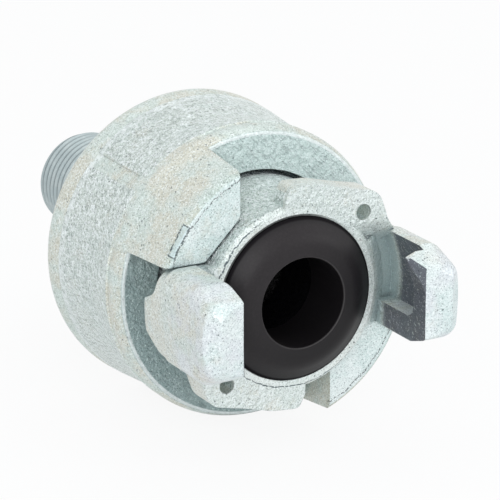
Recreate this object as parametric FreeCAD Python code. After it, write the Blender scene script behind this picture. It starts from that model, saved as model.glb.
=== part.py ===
import FreeCAD, Part
import math
import os

# Claw hose coupling half for 1/2 inch pipe, with a sprung locking sleeve. Millimetres, +Z up.
# The coupling's axis lies along Y. The shapes are drawn with the sealing face at y = 0, the claws
# towards -Y and the threaded stem towards +Y, and are then moved so that the origin lies on the
# axis at the gauge plane of the pipe thread, which is where the coupling is held.

Vector = FreeCAD.Vector
AXIS = Vector(0, 1, 0)
CENTRE = Vector(0, 0, 0)

# Lengths along the axis, from the sealing face
SLEEVE_FRONT = 16.35
STOP_FACE = 22.5
SLEEVE_END = 47.5
STEM_END = 91.8

# Sealing head
RECESS_RADIUS = 16.45
GROOVE_UNDERCUT = 0.65
FACE_RING_WIDTH = 1.25
RING_ROUND_WIDTH = 0.9
HUB_STEP = 1.7
LIP_DEPTH = 5.5
RECESS_DEPTH = 9.5
PIN_HOLE_RADIUS = 1.6
PIN_HOLE_INSET = 7.5

# Claws, drawn on the +X side; each claw is half of a pair turned by 180 degrees about the axis
CLAW_REACH = 16.5
CLAW_RING_GAP = 1.2
CLAW_WALL = 4.2
CLAW_CLOSED_SIDE = 9.3
CLAW_OPEN_SIDE = 10.2
ROOT_STEP = 0.15
ROOT_SIDE_STEP = 0.6
HOOK_OVERHANG = 2.3
CLAW_CORNER = 4.6
CLAW_ROUND = 3.6
CLAW_SIDE_DRAFT = 2.4
CLAW_OPEN_DRAFT = 3.6
CLAW_DRAFT_LENGTH = 7.5
CLAW_BEVEL = 1.4
CLAW_BEVEL_WIDTH = 5.2
CLAW_FACET = 2.7
CLAW_ROOT_DEPTH = 11.3
CLAW_ROOT_SHORT_DEPTH = 5.2
POCKET_REACH = 10.8
POCKET_WIDTH = 4.0
POCKET_END_WALL = 5.2
POCKET_CORNER = 2.5
POCKET_FLOOR = 3.6

# Lugs, whose backs rise as a ramp from the thin end to the claw
LUG_POCKET_GAP = 1.3
LUG_THIN = 4.4
LUG_THICK = 6.4
SCOOP_START = 10.7
SCOOP_FALL = 4.2
SCOOP_ROUND = 5.0

# Neck, stem and thread; the tapered end is the pitch cone of the pipe thread
NECK_RADIUS = 15.0
SHANK_RADIUS = 11.7
NECK_TAPER_LENGTH = 6.0
THREAD_LENGTH = 20.0
THREAD_END_RADIUS = 9.63
THREAD_TAPER = 1.0 / 32.0
GAUGE_LENGTH = 8.13
END_CHAMFER = 0.8
BORE_RADIUS = 7.0
BORE_MOUTH_RADIUS = 9.0

# Locking sleeve
SHOULDER_RADIUS = 30.6
SHOULDER_ROUND = 3.0
WAIST_DEPTH = 1.6
RIM_STEP = 0.75
FACE_STEP = 0.81
FACE_CHAMFER = 0.5
HUB_GAP = 1.04
BAND_START = 21.2
BAND_END = 41.0
BAND_RELIEF = 0.3
BAND_GAP_ANGLE = 136.5
BAND_GAP_WIDTH = 2.4
DRUM_WALL = 3.0
WEB_THICKNESS = 5.0
NECK_CLEARANCE = 0.06
STOP_GAP = 0.05

# Sleeve fingers, drawn on the upper -X side
FINGER_TIP = 3.6
FINGER_ROOT_STEP = 0.1
FINGER_TAPER = 1.3
OTHER_CLAW_GAP = 0.7
OWN_CLAW_GAP = 0.45
FINGER_SINK = 1.35
FINGER_CORNER = 1.3
FINGER_EDGE = 1.4
FLAT_CLEARANCE = 0.45

# Spring, its seat and the retaining ring
SPRING_NECK_GAP = 2.55
SPRING_WIRE = 1.7
SPRING_TURNS = 3
SPRING_SIDES = 8
SEAT_START = 44.0
SEAT_THICKNESS = 1.5
SEAT_BORDER = 2.75
RING_THICKNESS = 1.2
RING_WIDTH = 2.6
RING_GROOVE_DEPTH = 1.1
RING_SIDE_GAP = 0.05
EAR_RADIUS = 2.0
EAR_HOLE_RADIUS = 0.75
RING_MOUTH = 22.0
NECK_BEHIND_RING = 1.2

# Face seal
SEAL_BORE_RADIUS = 8.97
SEAL_PROUD = 3.1
SEAL_GAP = 0.1

# Values worked out from the ones above
GROOVE_RADIUS = RECESS_RADIUS + GROOVE_UNDERCUT
FACE_FLAT_RADIUS = RECESS_RADIUS + FACE_RING_WIDTH
RING_RADIUS = FACE_FLAT_RADIUS + RING_ROUND_WIDTH
HUB_RADIUS = RING_RADIUS + HUB_STEP
CLAW_INNER = RING_RADIUS + CLAW_RING_GAP
CLAW_TIP_INNER = CLAW_INNER - HOOK_OVERHANG
POCKET_RADIUS = CLAW_INNER + POCKET_WIDTH
CLAW_OUTER_RADIUS = POCKET_RADIUS + CLAW_WALL
ROOT_CLOSED_SIDE = CLAW_CLOSED_SIDE - ROOT_SIDE_STEP
LUG_HEIGHT = POCKET_RADIUS - LUG_POCKET_GAP
PIN_HOLE_AT = LUG_HEIGHT - PIN_HOLE_INSET
SLEEVE_BORE_RADIUS = HUB_RADIUS + HUB_GAP
SLEEVE_RIM_RADIUS = SHOULDER_RADIUS - RIM_STEP
SLEEVE_FACE_RADIUS = SLEEVE_RIM_RADIUS - FACE_STEP
WAIST_RADIUS = SHOULDER_RADIUS - WAIST_DEPTH
CAVITY_RADIUS = WAIST_RADIUS - DRUM_WALL
FINGER_ROOT_RADIUS = SLEEVE_FACE_RADIUS - FINGER_ROOT_STEP
FINGER_TIP_RADIUS = FINGER_ROOT_RADIUS - FINGER_TAPER
FINGER_SIDE = CLAW_CLOSED_SIDE + OTHER_CLAW_GAP
FINGER_LOWER_SIDE = ROOT_CLOSED_SIDE + OWN_CLAW_GAP
FINGER_FLAT = HUB_RADIUS - FINGER_SINK
SPRING_MEAN_RADIUS = NECK_RADIUS + SPRING_NECK_GAP + SPRING_WIRE / 2
SEAT_OUTER_RADIUS = SPRING_MEAN_RADIUS + SPRING_WIRE / 2 + SEAT_BORDER
ORIGIN_DEPTH = STEM_END - GAUGE_LENGTH
THREAD_START = STEM_END - THREAD_LENGTH
THREAD_START_RADIUS = THREAD_END_RADIUS + THREAD_LENGTH * THREAD_TAPER
WEB_FRONT = STOP_FACE + STOP_GAP
WEB_BACK = WEB_FRONT + WEB_THICKNESS
GROOVE_START = SEAT_START + SEAT_THICKNESS
GROOVE_WIDTH = RING_THICKNESS + 2 * RING_SIDE_GAP
NECK_END = GROOVE_START + GROOVE_WIDTH + NECK_BEHIND_RING
SHANK_START = NECK_END + NECK_TAPER_LENGTH


def radial(radius, depth):
    """A point of a turned profile: radius from the axis, depth behind the sealing face."""
    return Vector(radius, depth, 0)


def across(depth):
    """Gives a function that places (x, z) pairs in the plane at this depth."""
    def place(x, z):
        return Vector(x, depth, z)
    return place


def rounded_wire(corners, place):
    """A closed wire through corners (a, b, radius), each rounded by its own radius."""
    arcs = []
    for index, (a, b, radius) in enumerate(corners):
        here = Vector(a, b, 0)
        if radius == 0:
            arcs.append((here, here, here, radius))
            continue
        before = corners[index - 1]
        after = corners[(index + 1) % len(corners)]
        to_last = (Vector(before[0], before[1], 0) - here).normalize()
        to_next = (Vector(after[0], after[1], 0) - here).normalize()
        half = to_last.getAngle(to_next) / 2
        reach = radius / math.tan(half)
        middle = here + (to_last + to_next).normalize() * (radius / math.sin(half) - radius)
        arcs.append((here + to_last * reach, middle, here + to_next * reach, radius))
    edges = []
    for index, (start, middle, end, radius) in enumerate(arcs):
        if radius > 0:
            points = [place(point.x, point.y) for point in (start, middle, end)]
            edges.append(Part.Arc(*points).toShape())
        next_start = arcs[(index + 1) % len(arcs)][0]
        if (next_start - end).Length > 1e-6:
            edges.append(Part.makeLine(place(end.x, end.y), place(next_start.x, next_start.y)))
    return Part.Wire(edges)


def turned(corners):
    """A solid of revolution about the coupling's axis from corners (radius, depth, rounding)."""
    face = Part.Face(rounded_wire(corners, radial))
    return face.revolve(CENTRE, AXIS, 360)


def prism(corners, front, back):
    """A solid from an outline of corners (x, z, rounding), between two depths."""
    face = Part.Face(rounded_wire(corners, across(front)))
    return face.extrude(AXIS * (back - front))


def rod(radius, front, back, x=0.0, z=0.0):
    """A cylinder parallel to the axis between two depths."""
    return Part.makeCylinder(radius, back - front, Vector(x, front, z), AXIS)


def opposite(shape):
    """The copy of a shape turned by 180 degrees about the axis."""
    twin = shape.copy()
    twin.rotate(CENTRE, AXIS, 180)
    return twin


def long_edges(shape, least_radius):
    """Edges that run parallel to the axis, farther from it than least_radius."""
    found = []
    for edge in shape.Edges:
        middle = edge.CenterOfMass
        direction = edge.Vertexes[-1].Point - edge.Vertexes[0].Point
        straight = abs(abs(direction.y) - edge.Length) < 1e-3
        if straight and math.hypot(middle.x, middle.z) > least_radius:
            found.append(edge)
    return found


def edges_at_depth(shape, depth, test):
    """Edges that lie in the plane at this depth and whose middle passes the test."""
    found = []
    for edge in shape.Edges:
        box = edge.BoundBox
        flat = abs(box.YMin - depth) < 1e-4 and abs(box.YMax - depth) < 1e-4
        if flat and test(edge.CenterOfMass):
            found.append(edge)
    return found


def hub_and_stem():
    """The turned body of the head: face ring, hub, stop face, neck, shank and tapered stem."""
    return turned([
        (FACE_FLAT_RADIUS, 0, 0.2),
        (RING_RADIUS, 0.9, 0.5),
        (RING_RADIUS, 3.0, 6.0),
        (HUB_RADIUS, 14.0, 6.0),
        (HUB_RADIUS + 0.1, STOP_FACE, 0),
        (NECK_RADIUS, STOP_FACE, 0),
        (NECK_RADIUS, NECK_END, 1.0),
        (SHANK_RADIUS, SHANK_START, 3.0),
        (SHANK_RADIUS, THREAD_START - 1.5, 0.5),
        (THREAD_START_RADIUS, THREAD_START - 0.5, 0),
        (THREAD_END_RADIUS + END_CHAMFER * THREAD_TAPER, STEM_END - END_CHAMFER, 0),
        (THREAD_END_RADIUS - END_CHAMFER, STEM_END, 0),
        (BORE_RADIUS - 1, STEM_END, 0),
        (BORE_RADIUS - 1, 0, 0),
    ])


def flow_passage():
    """The way through the head: seal recess with its holding groove, then the bore."""
    return turned([
        (0, -1, 0),
        (RECESS_RADIUS, -1, 0),
        (RECESS_RADIUS, LIP_DEPTH, 0),
        (GROOVE_RADIUS, LIP_DEPTH, 0),
        (GROOVE_RADIUS, RECESS_DEPTH, 0),
        (BORE_MOUTH_RADIUS, RECESS_DEPTH, 0),
        (BORE_RADIUS, RECESS_DEPTH + 8.0, 4.0),
        (BORE_RADIUS, STEM_END - 0.6, 0),
        (BORE_RADIUS + 0.7, STEM_END + 0.1, 0),
        (BORE_RADIUS + 0.7, STEM_END + 1, 0),
        (0, STEM_END + 1, 0),
    ])


def claw_outline(inner, closed_side, open_side):
    """The section of a claw, whose inner side starts at this x."""
    hooked = inner > RING_RADIUS
    return [
        (inner, -closed_side, 0.6 if hooked else 0),
        (CLAW_OUTER_RADIUS + 2, -closed_side, 0),
        (CLAW_OUTER_RADIUS + 2, open_side - 0.9, 0),
        (POCKET_RADIUS - 1.6, open_side, 5.0),
        (min(inner, CLAW_TIP_INNER), open_side - 1.7, 0.6),
        (inner, open_side - 7.4, 7.0 if hooked else 0),
    ]


def claw_block(outline, outer, front, back):
    """The claw's section between two depths, round on the outside and at its outer corners."""
    block = prism(outline, front, back).common(rod(outer, front - 1, back + 1))
    return block.makeFillet(CLAW_CORNER, long_edges(block, outer - 0.2))


def claw():
    """One claw: an arm that rises from the head and hooks inwards over a pocket."""
    back = FINGER_TIP - 1.0
    outline = claw_outline(CLAW_INNER, CLAW_CLOSED_SIDE, CLAW_OPEN_SIDE)
    block = prism(outline, -CLAW_REACH, back)
    block = block.common([rod(CLAW_OUTER_RADIUS, -CLAW_REACH - 1, back + 1)]).common(claw_draft())

    def outside(middle):
        return middle.x > CLAW_INNER + 0.7

    rounded = edges_at_depth(block, -CLAW_REACH, outside)
    for edge in block.Edges:
        middle = edge.CenterOfMass
        if edge.BoundBox.YLength > 1 and math.hypot(middle.x, middle.z) > CLAW_OUTER_RADIUS - 0.6:
            rounded.append(edge)
    block = block.makeFillet(CLAW_ROUND, rounded)
    return block.cut([claw_bevel(), claw_pocket()])


def claw_bevel():
    """The facets that slope from the claw's front down to its inner edge and its outer side."""
    points = [
        (CLAW_TIP_INNER - 2, -CLAW_REACH - 1),
        (CLAW_TIP_INNER - 2, -POCKET_REACH - 0.5),
        (CLAW_TIP_INNER, -POCKET_REACH - 0.5),
        (CLAW_INNER, -CLAW_REACH + CLAW_BEVEL),
        (CLAW_INNER + CLAW_BEVEL_WIDTH, -CLAW_REACH),
        (CLAW_OUTER_RADIUS, -CLAW_REACH + CLAW_FACET),
        (CLAW_OUTER_RADIUS + 1, -CLAW_REACH + CLAW_FACET),
        (CLAW_OUTER_RADIUS + 1, -CLAW_REACH - 1),
    ]
    outline = [Vector(x, y, -20) for x, y in points + points[:1]]
    return Part.Face(Part.makePolygon(outline)).extrude(Vector(0, 0, 40))


def claw_draft():
    """The room that the claw keeps to in side view, where both sides narrow to the front."""
    def upright(y, z):
        return Vector(CLAW_TIP_INNER - 3, y, z)

    drafted = -CLAW_REACH + CLAW_DRAFT_LENGTH
    face = Part.Face(rounded_wire([
        (-CLAW_REACH, -CLAW_CLOSED_SIDE + CLAW_SIDE_DRAFT, 0),
        (drafted, -CLAW_CLOSED_SIDE, 0),
        (CLAW_REACH, -CLAW_CLOSED_SIDE, 0),
        (CLAW_REACH, CLAW_OPEN_SIDE + 0.1, 0),
        (drafted, CLAW_OPEN_SIDE + 0.1, 0),
        (-CLAW_REACH, CLAW_OPEN_SIDE - CLAW_OPEN_DRAFT, 0),
    ], upright))
    return face.extrude(Vector(CLAW_OUTER_RADIUS, 0, 0))


def claw_pocket():
    """The undercut that takes the other half's lug, open towards +Z, shut by an end wall."""
    def upright(y, z):
        return Vector(RING_RADIUS - 6, y, z)

    corners = [
        (-POCKET_REACH, -CLAW_CLOSED_SIDE + POCKET_END_WALL, POCKET_CORNER),
        (POCKET_FLOOR + 1, -CLAW_CLOSED_SIDE + POCKET_END_WALL, 0),
        (POCKET_FLOOR + 1, CLAW_OPEN_SIDE + 9, 0),
        (-POCKET_REACH, CLAW_OPEN_SIDE + 9, 0),
    ]
    face = Part.Face(rounded_wire(corners, upright))
    room = face.extrude(Vector(CLAW_OUTER_RADIUS, 0, 0))
    return room.common(rod(POCKET_RADIUS, -POCKET_REACH - 1, POCKET_FLOOR + 2))


def claw_root():
    """The web that carries a claw: its front dips from the face ring into the pocket floor."""
    outline = claw_outline(RING_RADIUS - 4, ROOT_CLOSED_SIDE, CLAW_OPEN_SIDE - ROOT_STEP)
    block = claw_block(outline, CLAW_OUTER_RADIUS - ROOT_STEP, 0, CLAW_ROOT_DEPTH)
    section = turned([
        (RING_RADIUS - 5, 0.02, 0),
        (FACE_FLAT_RADIUS, 0.02, 3.0),
        (CLAW_INNER + 1.4, POCKET_FLOOR - 0.9, 3.0),
        (POCKET_RADIUS, POCKET_FLOOR, 0),
        (POCKET_RADIUS, 0, 0),
        (CLAW_OUTER_RADIUS, 0, 0),
        (CLAW_OUTER_RADIUS, CLAW_ROOT_DEPTH - 1.5, 2.0),
        (HUB_RADIUS - 0.5, CLAW_ROOT_DEPTH, 0),
        (RING_RADIUS - 5, CLAW_ROOT_DEPTH, 0),
    ])

    def upright(y, z):
        return Vector(0, y, z)

    tapered = Part.Face(rounded_wire([
        (-1, -ROOT_CLOSED_SIDE - 1, 0),
        (CLAW_ROOT_SHORT_DEPTH + 0.4, -ROOT_CLOSED_SIDE - 1, 0),
        (CLAW_ROOT_SHORT_DEPTH, -ROOT_CLOSED_SIDE + 4.6, 2.5),
        (CLAW_ROOT_DEPTH - 0.6, -1.4, 1.4),
        (CLAW_ROOT_DEPTH, 2.0, 1.4),
        (CLAW_ROOT_SHORT_DEPTH + 0.6, CLAW_OPEN_SIDE - 3.0, 3.0),
        (CLAW_ROOT_SHORT_DEPTH - 0.4, CLAW_OPEN_SIDE + 0.5, 0),
        (-1, CLAW_OPEN_SIDE + 0.5, 0),
    ], upright)).extrude(Vector(CLAW_OUTER_RADIUS + 1, 0, 0))
    return block.common(section).common(tapered)


def lug_scoop():
    """What is cut off a lug beside the claw, where its face sinks softly into the pocket."""
    def upright(y, z):
        return Vector(RING_RADIUS / 2, y, z)

    top = LUG_HEIGHT - SCOOP_START
    face = Part.Face(rounded_wire([
        (-0.05, top + 6, 0),
        (-0.05, top, SCOOP_ROUND),
        (POCKET_FLOOR - 0.2, top - SCOOP_FALL, SCOOP_ROUND),
        (POCKET_FLOOR, top - SCOOP_FALL - 6, 0),
        (-2, top - SCOOP_FALL - 6, 0),
        (-2, top + 6, 0),
    ], upright))
    return face.extrude(Vector(LUG_HEIGHT, 0, 0))


def lug():
    """One lug: a flange level with the face, scooped beside the claw, with a ramped back."""
    plate = prism([
        (-2.3, LUG_HEIGHT - 8.0, 0),
        (-2.3, LUG_HEIGHT - 2.7, 0.8),
        (-0.9, LUG_HEIGHT + 0.1, 1.4),
        (4.9, LUG_HEIGHT - 0.4, 8.0),
        (CLAW_INNER - 8.8, LUG_HEIGHT - 2.1, 0),
        (CLAW_INNER - 1.2, LUG_HEIGHT - 3.8, 4.0),
        (CLAW_INNER + 0.9, LUG_HEIGHT - 10.0, 4.0),
        (POCKET_RADIUS - 0.2, LUG_HEIGHT - 13.4, 0),
        (RING_RADIUS - 5, LUG_HEIGHT - 17, 0),
        (8.0, LUG_HEIGHT - 10, 0),
    ], 0, LUG_THICK + 1)
    plate = plate.cut(lug_scoop())
    ramp = [
        Vector(-6, LUG_THIN - 0.25, 0),
        Vector(26, LUG_THICK + 0.55, 0),
        Vector(26, LUG_THICK + 4, 0),
        Vector(-6, LUG_THICK + 4, 0),
        Vector(-6, LUG_THIN - 0.25, 0),
    ]
    behind = Part.Face(Part.makePolygon(ramp)).extrude(Vector(0, 0, 40))
    plate = plate.cut(behind)
    hole = rod(PIN_HOLE_RADIUS, -1, LUG_THICK + 2, PIN_HOLE_AT, PIN_HOLE_AT)
    return plate.cut(hole)


def finger_relief():
    """The flat that a sleeve finger slides along, cut into the hub on the upper -X side."""
    flat = FINGER_FLAT - FLAT_CLEARANCE
    block = Part.makeBox(30, STOP_FACE - 1.5, 10, Vector(-15, 2.5, flat))
    block.rotate(CENTRE, AXIS, -45)
    return block


def ring_groove():
    """The groove in the neck that holds the retaining ring."""
    outer = rod(NECK_RADIUS + 1, GROOVE_START, GROOVE_START + GROOVE_WIDTH)
    return outer.cut(rod(NECK_RADIUS - RING_GROOVE_DEPTH, GROOVE_START - 1, NECK_END))


def coupling_body():
    """The casting with its face ring, claws, lugs, neck and stem."""
    body = hub_and_stem()
    relief = finger_relief()
    body = body.cut([relief, opposite(relief), ring_groove()])
    for feature in (claw_root(), claw(), lug()):
        body = body.fuse([feature, opposite(feature)])
    body = body.cut(flow_passage())
    return body.removeSplitter()


def sleeve_side(lift):
    """The corners along the sleeve's concave side, raised by lift where the panels lie."""
    return [
        (SLEEVE_RIM_RADIUS - 0.4, BAND_START, 0),
        (SLEEVE_RIM_RADIUS - 0.4 + lift, BAND_START + lift, 0),
        (WAIST_RADIUS + lift, BAND_START + 7.0, 12.0),
        (SHOULDER_RADIUS - 0.5 + lift, BAND_END - lift, 0),
        (SHOULDER_RADIUS - 0.5, BAND_END, 0),
    ]


def sleeve_shell():
    """The turned part of the sleeve: front ring, web on the neck, and the drum behind it."""
    plain_side = sleeve_side(0)
    return turned([
        (SLEEVE_BORE_RADIUS, SLEEVE_FRONT, 0),
        (SLEEVE_FACE_RADIUS - FACE_CHAMFER, SLEEVE_FRONT, 0),
        (SLEEVE_FACE_RADIUS, SLEEVE_FRONT + FACE_CHAMFER, 0),
        (SLEEVE_RIM_RADIUS + 0.1, SLEEVE_FRONT + 2.6, 4.0),
        plain_side[0],
        plain_side[2],
        plain_side[4],
        (SHOULDER_RADIUS, BAND_END + 3.0, 2.0),
        (SHOULDER_RADIUS, SLEEVE_END, SHOULDER_ROUND),
        (CAVITY_RADIUS + 0.6, SLEEVE_END, 0),
        (CAVITY_RADIUS, SLEEVE_END - 0.6, 0),
        (CAVITY_RADIUS, WEB_BACK, 0),
        (NECK_RADIUS + NECK_CLEARANCE, WEB_BACK, 0),
        (NECK_RADIUS + NECK_CLEARANCE, WEB_FRONT, 0),
        (SLEEVE_BORE_RADIUS, WEB_FRONT, 0),
    ])


def sleeve_panels():
    """The two raised panels around the drum, parted by two narrow smooth strips."""
    under = CAVITY_RADIUS + 1
    band = turned([(under, BAND_START, 0)] + sleeve_side(BAND_RELIEF) + [(under, BAND_END, 0)])
    strip = Part.makeBox(SHOULDER_RADIUS + 5, STEM_END, BAND_GAP_WIDTH,
                         Vector(0, 0, -BAND_GAP_WIDTH / 2))
    strip.rotate(CENTRE, AXIS, -BAND_GAP_ANGLE)
    return band.cut([strip, opposite(strip)])


def sleeve_finger():
    """One finger: it fills the corner between a claw and the other half's claw."""
    far = FINGER_ROOT_RADIUS + 4
    flat = FINGER_FLAT * math.sqrt(2)
    block = prism([
        (-FINGER_SIDE, flat - FINGER_SIDE, FINGER_CORNER),
        (-FINGER_SIDE, far, 0),
        (-far, far, 0),
        (-far, FINGER_LOWER_SIDE, 0),
        (FINGER_LOWER_SIDE - flat, FINGER_LOWER_SIDE, FINGER_CORNER),
    ], FINGER_TIP, WEB_FRONT + 1)
    envelope = turned([
        (0, FINGER_TIP, 0),
        (FINGER_TIP_RADIUS, FINGER_TIP, 0),
        (FINGER_ROOT_RADIUS, SLEEVE_FRONT - 0.6, 6.0),
        (SLEEVE_RIM_RADIUS, SLEEVE_FRONT + 2.8, 0),
        (SLEEVE_RIM_RADIUS, WEB_FRONT + 1, 0),
        (0, WEB_FRONT + 1, 0),
    ])
    block = block.common(envelope)

    def outer(middle):
        return math.hypot(middle.x, middle.z) > 0.93 * FINGER_TIP_RADIUS

    return block.makeFillet(FINGER_EDGE, edges_at_depth(block, FINGER_TIP, outer))


def locking_sleeve():
    """The sliding sleeve with its two fingers."""
    finger = sleeve_finger()
    sleeve = sleeve_shell().fuse([sleeve_panels(), finger, opposite(finger)])
    return sleeve.removeSplitter()


def sleeve_spring():
    """The coil that pushes the sleeve forward, of wire with narrow flats along it."""
    room = SEAT_START - WEB_BACK - 2 * STOP_GAP
    height = room - SPRING_WIRE
    path = Part.makeHelix(height / SPRING_TURNS, height, SPRING_MEAN_RADIUS)
    wire = Part.Wire(path.Edges)
    corners = []
    for step in range(SPRING_SIDES + 1):
        angle = 2 * math.pi * step / SPRING_SIDES
        across_wire = SPRING_MEAN_RADIUS + SPRING_WIRE / 2 * math.cos(angle)
        corners.append(Vector(across_wire, 0, SPRING_WIRE / 2 * math.sin(angle)))
    section = Part.makePolygon(corners)
    coil = wire.makePipeShell([section], True, True)
    coil.rotate(CENTRE, Vector(1, 0, 0), -90)
    coil.translate(AXIS * (WEB_BACK + STOP_GAP + SPRING_WIRE / 2))
    return coil


def spring_seat():
    """The flat washer behind the spring."""
    inner = NECK_RADIUS + 2 * NECK_CLEARANCE
    return turned([
        (inner, SEAT_START, 0),
        (SEAT_OUTER_RADIUS, SEAT_START, 0),
        (SEAT_OUTER_RADIUS, SEAT_START + SEAT_THICKNESS, 0),
        (inner, SEAT_START + SEAT_THICKNESS, 0),
    ])


def retaining_ring():
    """The split ring in the neck's groove, with two eared ends for pliers."""
    front = GROOVE_START + RING_SIDE_GAP
    back = front + RING_THICKNESS
    inner = NECK_RADIUS - RING_GROOVE_DEPTH + RING_SIDE_GAP
    outer = inner + RING_WIDTH
    ring = rod(outer, front, back)
    ears = []
    holes = []
    for side in (-1, 1):
        angle = math.radians(270 + side * RING_MOUTH)
        place = (outer - 0.2) * math.cos(angle), (outer - 0.2) * math.sin(angle)
        ears.append(rod(EAR_RADIUS, front, back, *place))
        holes.append(rod(EAR_HOLE_RADIUS, front - 1, back + 1, *place))
    ring = ring.fuse(ears)
    mouth = Part.makeBox(2 * outer * math.sin(math.radians(RING_MOUTH - 4)), RING_THICKNESS + 2,
                         outer, Vector(0, front - 1, -outer - EAR_RADIUS))
    mouth.translate(Vector(-mouth.BoundBox.XLength / 2, 0, 0))
    return ring.cut(holes + [mouth, rod(inner, front - 1, back + 1)]).removeSplitter()


def face_seal():
    """The rubber seal, snapped into the recess and standing proud of the face."""
    rim = RECESS_RADIUS - SEAL_GAP
    flange = GROOVE_RADIUS - SEAL_GAP
    back = RECESS_DEPTH - SEAL_GAP
    return turned([
        (SEAL_BORE_RADIUS, -SEAL_PROUD, 0.4),
        (12.6, -SEAL_PROUD + 0.2, 5.0),
        (rim, -0.2, 0.4),
        (rim, LIP_DEPTH + SEAL_GAP, 0),
        (flange, LIP_DEPTH + SEAL_GAP, 0),
        (flange, back, 0),
        (SEAL_BORE_RADIUS, back, 0),
    ])


def build():
    """Makes every piece and writes each to its own file."""
    pieces = {
        "coupling_body": coupling_body(),
        "locking_sleeve": locking_sleeve(),
        "sleeve_spring": sleeve_spring(),
        "spring_seat": spring_seat(),
        "retaining_ring": retaining_ring(),
        "face_seal": face_seal(),
    }
    os.makedirs("parts", exist_ok=True)
    for name, shape in pieces.items():
        shape.translate(AXIS * -ORIGIN_DEPTH)
        shape.exportStep("parts/" + name + ".step")


build()
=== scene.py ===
"""The looks of a claw hose coupling half: plated castings, a rubber seal and a pipe thread."""

import logging
import math
from dataclasses import dataclass, field
from enum import Enum
from functools import cached_property
from typing import Sequence

import bpy
import numpy as np
from mathutils import Matrix, Vector


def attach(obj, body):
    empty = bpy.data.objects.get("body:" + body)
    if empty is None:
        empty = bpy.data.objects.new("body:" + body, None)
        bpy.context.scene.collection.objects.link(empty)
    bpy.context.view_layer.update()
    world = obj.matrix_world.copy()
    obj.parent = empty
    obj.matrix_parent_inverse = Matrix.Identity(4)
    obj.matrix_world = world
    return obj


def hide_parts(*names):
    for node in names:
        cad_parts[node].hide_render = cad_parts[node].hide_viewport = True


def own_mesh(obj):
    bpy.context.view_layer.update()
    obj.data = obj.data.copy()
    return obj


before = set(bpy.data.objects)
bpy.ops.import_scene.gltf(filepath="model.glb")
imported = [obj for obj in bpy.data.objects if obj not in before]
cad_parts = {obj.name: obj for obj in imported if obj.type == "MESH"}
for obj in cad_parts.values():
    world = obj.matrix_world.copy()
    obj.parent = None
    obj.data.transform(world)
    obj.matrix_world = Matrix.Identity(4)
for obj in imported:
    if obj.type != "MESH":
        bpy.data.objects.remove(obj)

log = logging.getLogger("coupling")

Socket = bpy.types.NodeSocket
Colour = tuple[float, float, float]
Triple = tuple[float, float, float]

MM = 0.001
FACE_Y = -83.67 * MM

BLACK: Colour = (0.0, 0.0, 0.0)
WHITE: Colour = (1.0, 1.0, 1.0)

# Samples of the shaders that look around a point, and the Mix node's sockets for colours
CAVITY_SAMPLES = 8
CORNER_SAMPLES = 6
MIX_UNDER, MIX_OVER, MIX_RESULT = 6, 7, 2

# Directions across the coupling, seen from the claws' side with X to the right and Z up
TO_FRONT: Triple = (0.0, -1.0, 0.0)
TO_RIGHT: Triple = (1.0, 0.0, 0.0)
TO_TOP: Triple = (0.0, 0.0, 1.0)
TO_UPPER_PIN: Triple = (0.7071, 0.0, 0.7071)
BESIDE_UPPER_PIN: Triple = (0.7071, 0.0, -0.7071)
TO_UPPER_LEFT: Triple = (-0.6, 0.0, 0.8)


class Sum(Enum):
    """What a Math node does with its values."""

    ADD = "ADD"
    SUBTRACT = "SUBTRACT"
    MULTIPLY = "MULTIPLY"
    DIVIDE = "DIVIDE"
    MAXIMUM = "MAXIMUM"
    ABSOLUTE = "ABSOLUTE"
    ROOT = "SQRT"


@dataclass(frozen=True)
class Ramp:
    """A smooth step: low and what is under it turn into start, high and what is over it into end."""

    low: float
    high: float
    start: float = 0.0
    end: float = 1.0


@dataclass(frozen=True)
class Span:
    """A stretch from low to high, which fades out over the length soft outside each end."""

    low: float
    high: float
    soft: float


@dataclass(frozen=True)
class Pattern:
    """A noise pattern: cells in a metre, finer octaves and their strength, and a shift.

    Its values are about 0.5 on average, or what the ramp makes of them where it has one.
    """

    per_metre: float
    detail: float = 2.0
    rough: float = 0.5
    shift: float = 0.0
    ramp: Ramp | None = None
    stretch: Triple = (1.0, 1.0, 1.0)


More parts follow.
